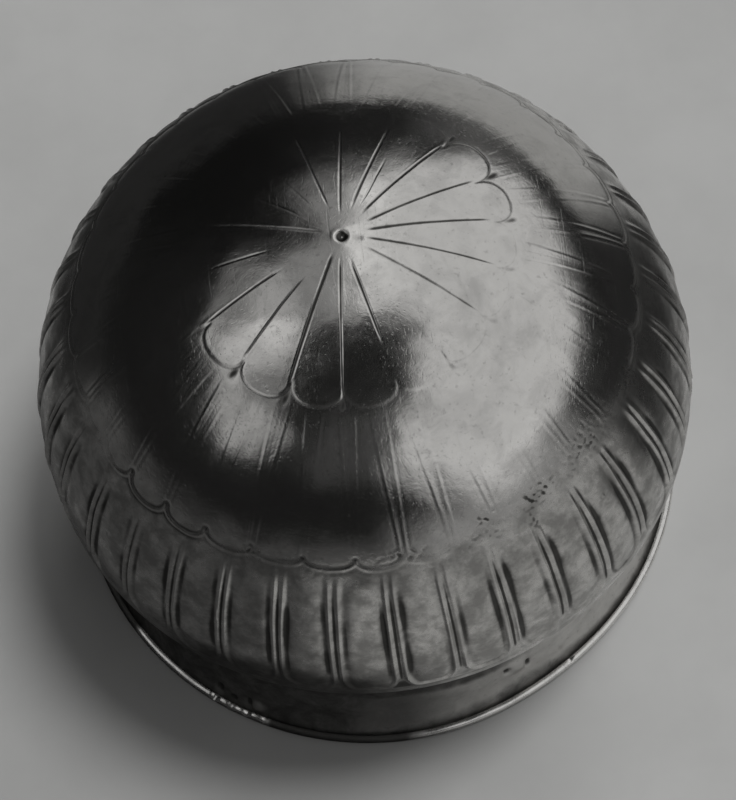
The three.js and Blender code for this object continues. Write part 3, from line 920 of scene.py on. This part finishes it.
def marked_silver(n, place, clean, blotch, colour, roughness, bumps):
    """Adds what the mesh's marks say: matt stains for age, shine for wear and residue for dirt. The age and
    dirt marks also carry painted shade.
    """
    dirt_and_shade, wear, age_and_shade = (n.put("ShaderNodeAttribute", set_attribute_name=key).outputs["Fac"]
                       for key in ("dirt_and_shade", "wear", "age_and_shade"))
    mottle, grit = n.noise(place, *MOTTLE), n.noise(place, *GRIT)
    aged = n.times(n.span(mottle, 0.36, 0.64), n.times(age_and_shade, 0.80))
    colour = n.mix(aged, colour, (*AGED, 1))
    roughness = n.plus(roughness, n.times(age_and_shade, n.span(mottle, 0.3, 0.7, 0.10, 0.22)))
    colour = n.mix(n.times(wear, 0.55), colour, (*clean, 1))
    ragged = n.plus(dirt_and_shade, n.times(n.minus(blotch, 0.5), 0.5))
    dark = n.times(n.span(ragged, 0.12, 0.72), n.span(dirt_and_shade, 0.02, 0.2, 0.0, 0.93))
    colour = n.mix(dark, colour, (*RESIDUE, 1))
    roughness = n.plus(roughness, n.times(dark, 0.30))
    bumps = n.plus(bumps, n.times(n.times(grit, n.times(age_and_shade, age_and_shade)), GRIT_DEPTH))
    return colour, roughness, bumps


def silver(name, clean, front_shade, rough, darkening, marked=True):
    """Worn silver. Darkening says how much of it is clouded, and marked that the mesh carries marks."""
    material = bpy.data.materials.new(name)
    material.use_nodes = True
    n = Nodes(material.node_tree)
    shader = material.node_tree.nodes["Principled BSDF"]
    place = n.put("ShaderNodeTexCoord").outputs["Object"]
    clouds, blotch = n.noise(place, *CLOUDS), n.noise(place, *BLOTCHES)
    grain, pits = n.noise(place, *GRAIN), n.noise(place, *FINE_PITS)
    clouded = n.span(clouds, 0.64 - 0.26 * darkening, 0.74 - 0.12 * darkening)
    mask = n.math("ADD", n.times(clouded, 0.55), n.times(n.span(blotch, 0.44, 0.66), 0.40), True)
    colour = n.mix(mask, (*clean, 1), (*front_shade, 1))
    colour = n.mix(n.times(n.span(grain, 0.60, 0.74), 0.22), colour, (*RESIDUE, 1))
    roughness = n.plus(n.plus(rough, n.times(mask, 0.09)), n.times(grain, 0.05))
    bumps = n.plus(n.times(blotch, BLOTCH_DEPTH), n.times(grain, GRAIN_DEPTH))
    bumps = n.minus(bumps, n.times(n.span(pits, 0.62, 0.78), FINE_PIT_DEPTH))
    for turn, length_scale in SCRATCH_LAYERS:
        spun = n.put("ShaderNodeMapping", Vector=place, Rotation=(0.4, turn, turn * 1.7),
                     Scale=(SCRATCH_FINENESS, length_scale, SCRATCH_FINENESS))
        scratch = n.span(n.noise(spun.outputs[0], 1.0, 2.0, 0.4), 0.66, 0.72)
        bumps = n.minus(bumps, n.times(scratch, SCRATCH_DEPTH))
        roughness = n.plus(roughness, n.times(scratch, 0.03))
    if marked:
        colour, roughness, bumps = marked_silver(n, place, clean, blotch, colour, roughness, bumps)
    bump_node = n.put("ShaderNodeBump", Strength=1.0, Distance=MM, Height=bumps)
    n.feed(shader, "Base Color", colour)
    n.feed(shader, "Roughness", roughness)
    n.feed(shader, "Normal", bump_node.outputs[0])
    shader.inputs["Metallic"].default_value = 1.0
    return material


def dress(piece, material, node):
    piece.data.materials.clear()
    piece.data.materials.append(material)
    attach(piece, "root")
    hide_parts(node)


dress(bowl_shell(), silver("chased_silver_worn", CLEAN, STAIN, 0.105, 0.5), "bowl_shell")
dress(neck_collar(), silver("neck_silver_worn", CLEAN, STAIN, 0.26, 0.4), "neck_collar")
dress(lip_ring(), silver("lip_silver_worn", LIP_CLEAN, STAIN, 0.22, 0.2), "lip_ring")
dress(shoulder_solder(), silver("grey_solder", SOLDER_CLEAN, SOLDER_STAIN, 0.42, 0.6, False),
      "shoulder_solder")


def direction_of(n, vector):
    """Azimuth in degrees, where 0 is towards the viewer and 90 to the right, and the vector's rise."""
    parts = n.put("ShaderNodeSeparateXYZ", Vector=vector)
    turn = n.math("ARCTAN2", parts.outputs[0], n.times(parts.outputs[1], -1.0))
    return n.times(turn, 180 / math.pi), parts.outputs[2]


def sector(n, azimuth, centre, half_width, edge):
    """1 in a sector of azimuths and 0 outside, over a soft edge."""
    wrap = n.put("ShaderNodeMath", set_operation="WRAP")
    for key, value in (("0", n.minus(azimuth, centre)), ("1", 180.0), ("2", -180.0)):
        n.feed(wrap, key, value)
    away = n.math("ABSOLUTE", wrap.outputs[0])
    return n.span(away, half_width - edge, half_width + edge, 1.0, 0.0)


# The floor is a pale cloth. Reflections see it darker in parts: painted shade far out, as if the studio
# round it were dark, and a painted shadow of the bowl close to it on the front left. Middle azimuth, half
# width and edge in degrees; where the dark starts, is full, starts to fade and ends, in metres from the
# axis; and its tone
FLOOR_SIZE = 6.0
CLOTH_DARK, CLOTH_LIGHT = (0.335, 0.335, 0.33, 1), (0.365, 0.365, 0.36, 1)
WEAVE = (24.0, 5.0, 0.6)
FAR, NEVER = 90.0, 99.0
REFLECTED_FLOOR = (
    (-137, 43, 9, 0.090, 0.150, FAR, NEVER, 0.020), (-52, 60, 9, 0.050, 0.058, 0.092, 0.112, 0.07),
    (-58, 42, 10, 0.085, 0.115, FAR, NEVER, 0.075), (98, 28, 9, 0.085, 0.145, FAR, NEVER, 0.020),
)


def pale_cloth():
    material = bpy.data.materials.new("pale_cloth")
    material.use_nodes = True
    n = Nodes(material.node_tree)
    shader = material.node_tree.nodes["Principled BSDF"]
    place = n.put("ShaderNodeTexCoord").outputs["Object"]
    azimuth, _ = direction_of(n, place)
    away = n.put("ShaderNodeVectorMath", set_operation="LENGTH", Vector=place).outputs["Value"]
    tone = n.mix(n.span(n.noise(place, *WEAVE), 0.3, 0.7), CLOTH_DARK, CLOTH_LIGHT)
    reflected = n.put("ShaderNodeLightPath").outputs["Is Glossy Ray"]
    for centre, half_width, edge, start, full, fade, gone, dark in REFLECTED_FLOOR:
        share = n.times(n.span(away, start, full), n.span(away, fade, gone, 1.0, 0.0))
        share = n.times(sector(n, azimuth, centre, half_width, edge), share)
        tone = n.mix(n.times(share, reflected), tone, (dark, dark, dark, 1))
    n.feed(shader, "Base Color", tone)
    shader.inputs["Roughness"].default_value = 1.0
    shader.inputs["Specular IOR Level"].default_value = 0.0
    return material


bpy.ops.mesh.primitive_plane_add(size=FLOOR_SIZE, location=(0, 0, 0))
floor = bpy.context.object
floor.name = "floor"
floor.data.materials.append(pale_cloth())

# The studio is a dark room with soft boxes, painted on the world by azimuth and elevation. A slow
# noise makes their edges uneven by these degrees.
world = bpy.context.scene.world or bpy.data.worlds.new("studio")
bpy.context.scene.world = world
world.use_nodes = True
w = Nodes(world.node_tree)
background = world.node_tree.nodes["Background"]
EDGE_NOISE = (5.0, 6.0, 0.62)
WOBBLE_AZIMUTH, WOBBLE_ELEVATION = 22.0, 18.0
sky = w.put("ShaderNodeTexCoord").outputs["Generated"]
sky_azimuth, rise = direction_of(w, sky)
wobble = w.minus(w.noise(sky, *EDGE_NOISE), 0.5)
sky_azimuth = w.plus(sky_azimuth, w.times(wobble, WOBBLE_AZIMUTH))
elevation = w.times(w.math("ARCSINE", rise), 180 / math.pi)
elevation = w.plus(elevation, w.times(wobble, WOBBLE_ELEVATION))


def soft_box(left, right, low, high, level, edge, side_edge):
    """One lit screen. Its lower and upper edges may be sockets, so that they slant."""
    bottom = w.span(w.minus(elevation, low), -edge, edge)
    top = w.span(w.minus(elevation, high), -edge, edge, 1.0, 0.0)
    side = sector(w, sky_azimuth, (left + right) / 2, (right - left) / 2, side_edge)
    return w.times(w.times(side, w.times(bottom, top)), level)


def slant(base, *turns):
    """An edge's elevation: a base, and how much it changes between two azimuths."""
    value = base
    for low, high, change in turns:
        value = w.plus(w.span(sky_azimuth, low, high, 0.0, change), value)
    return value


def dimmed(light, share, centre, half_width, edge, across):
    """Takes away a share of the light in a patch, where a sector and the mask across it meet."""
    patch = w.times(sector(w, sky_azimuth, centre, half_width, edge), across)
    return w.times(light, w.minus(1.0, w.times(patch, share)))


ROOM_LEVEL = 0.012
# Soft boxes: left and right azimuth, lower and upper elevation, level, edge and side edge
SOFT_BOXES = (
    (11, 176, slant(30, (12, 42, -16), (138, 176, 24)), slant(56, (14, 60, 14), (70, 125, 14)), 0.62, 5, 4),
    (108, 190, 66, 84, 0.06, 6, 14),
    (-202, -88, 58, 96, 0.26, 4, 9),
    (-136, -80, slant(48, (-125, -92, -6)), slant(68, (-125, -92, 4)), 0.17, 2.5, 8),
    (-98, -37, slant(44, (-96, -66, -12.5), (-56, -39, 14)), slant(76, (-84, -40, -27)), 0.42, 2, 3),
    (-196, -163, 40, 60, 0.32, 7, 8),
    (-27, 17, 38, 60, 0.045, 6, 8),
    (8, 66, -30, 18, 0.27, 6, 8),
    (142, 160, -30, 16, 0.08, 6, 8),
    (-92, -32, -30, 4, 0.030, 4, 8),
    (-34, 10, -30, 10, 0.065, 5, 8),
)
light = ROOM_LEVEL
for box in SOFT_BOXES:
    light = w.plus(light, soft_box(*box))
low_band = w.times(w.span(elevation, 46, 52), w.span(elevation, 55, 63, 1.0, 0.0))
light = dimmed(light, 0.6, -63, 11, 6, low_band)
light = dimmed(light, 0.45, -152, 22, 12, w.span(elevation, 58, 68, 1.0, 0.0))
grey = w.put("ShaderNodeCombineColor", Red=light, Green=light, Blue=light)
w.feed(background, "Color", grey.outputs[0])
background.inputs["Strength"].default_value = 1.0


# The lamps light the cloth. They are kept out of the metal's reflections, which show the soft boxes
def lamp(name, azimuth, elevation, radius, level):
    """A distant round lamp, placed and sized in degrees. Its level is its share of the floor's light."""
    data = bpy.data.lights.new(name, "SUN")
    data.energy = level * math.pi / math.sin(math.radians(elevation))
    data.angle = math.radians(2 * radius)
    obj = bpy.data.objects.new(name, data)
    bpy.context.scene.collection.objects.link(obj)
    turn, up = math.radians(azimuth), math.radians(elevation)
    towards = Vector((math.sin(turn) * math.cos(up), -math.cos(turn) * math.cos(up), math.sin(up)))
    obj.rotation_euler = towards.to_track_quat("Z", "Y").to_euler()
    obj.visible_glossy = False


lamp("high_lamp", 116, 68, 9, 0.56)
lamp("low_lamp", 150, 30, 12, 0.15)

# Camera: fitted to the outline, the lip, the ribs' ends, the petals' lines and the centre mark, and then
# moved a little. The place is the mouth's centre seen from the camera, in body radii: to the right, up and
# ahead.
TILT, ROLL, TURN = math.radians(65.471), math.radians(-9.092), math.radians(2.232)
FOCAL_PIXELS = 2430.0
SENSOR_WIDTH = 36.0
CLIP_START = 0.01
MOUTH_RIGHT, MOUTH_UP, MOUTH_AHEAD = 0.0300, -0.1922, 8.0
ahead = Vector((0, math.cos(TILT), -math.sin(TILT)))
level_x = Vector((1, 0, 0))
level_y = level_x.cross(ahead)
image_x = math.cos(ROLL) * level_x + math.sin(ROLL) * level_y
image_y = -math.sin(ROLL) * level_x + math.cos(ROLL) * level_y
pose = Matrix((image_x, image_y, -ahead)).transposed().to_4x4()
pose.translation = -(MOUTH_RIGHT * image_x + MOUTH_UP * image_y + MOUTH_AHEAD * ahead) * BODY_RADIUS * MM
camera_data = bpy.data.cameras.new("camera")
camera_data.sensor_fit = "HORIZONTAL"
camera_data.sensor_width = SENSOR_WIDTH
camera_data.lens = FOCAL_PIXELS / PHOTO_WIDTH * SENSOR_WIDTH
camera_data.clip_start = CLIP_START
camera = bpy.data.objects.new("camera", camera_data)
bpy.context.scene.collection.objects.link(camera)
camera.matrix_world = Matrix.Rotation(TURN, 4, "Z") @ pose
bpy.context.scene.camera = camera
bpy.context.scene.view_settings.view_transform = "Standard"
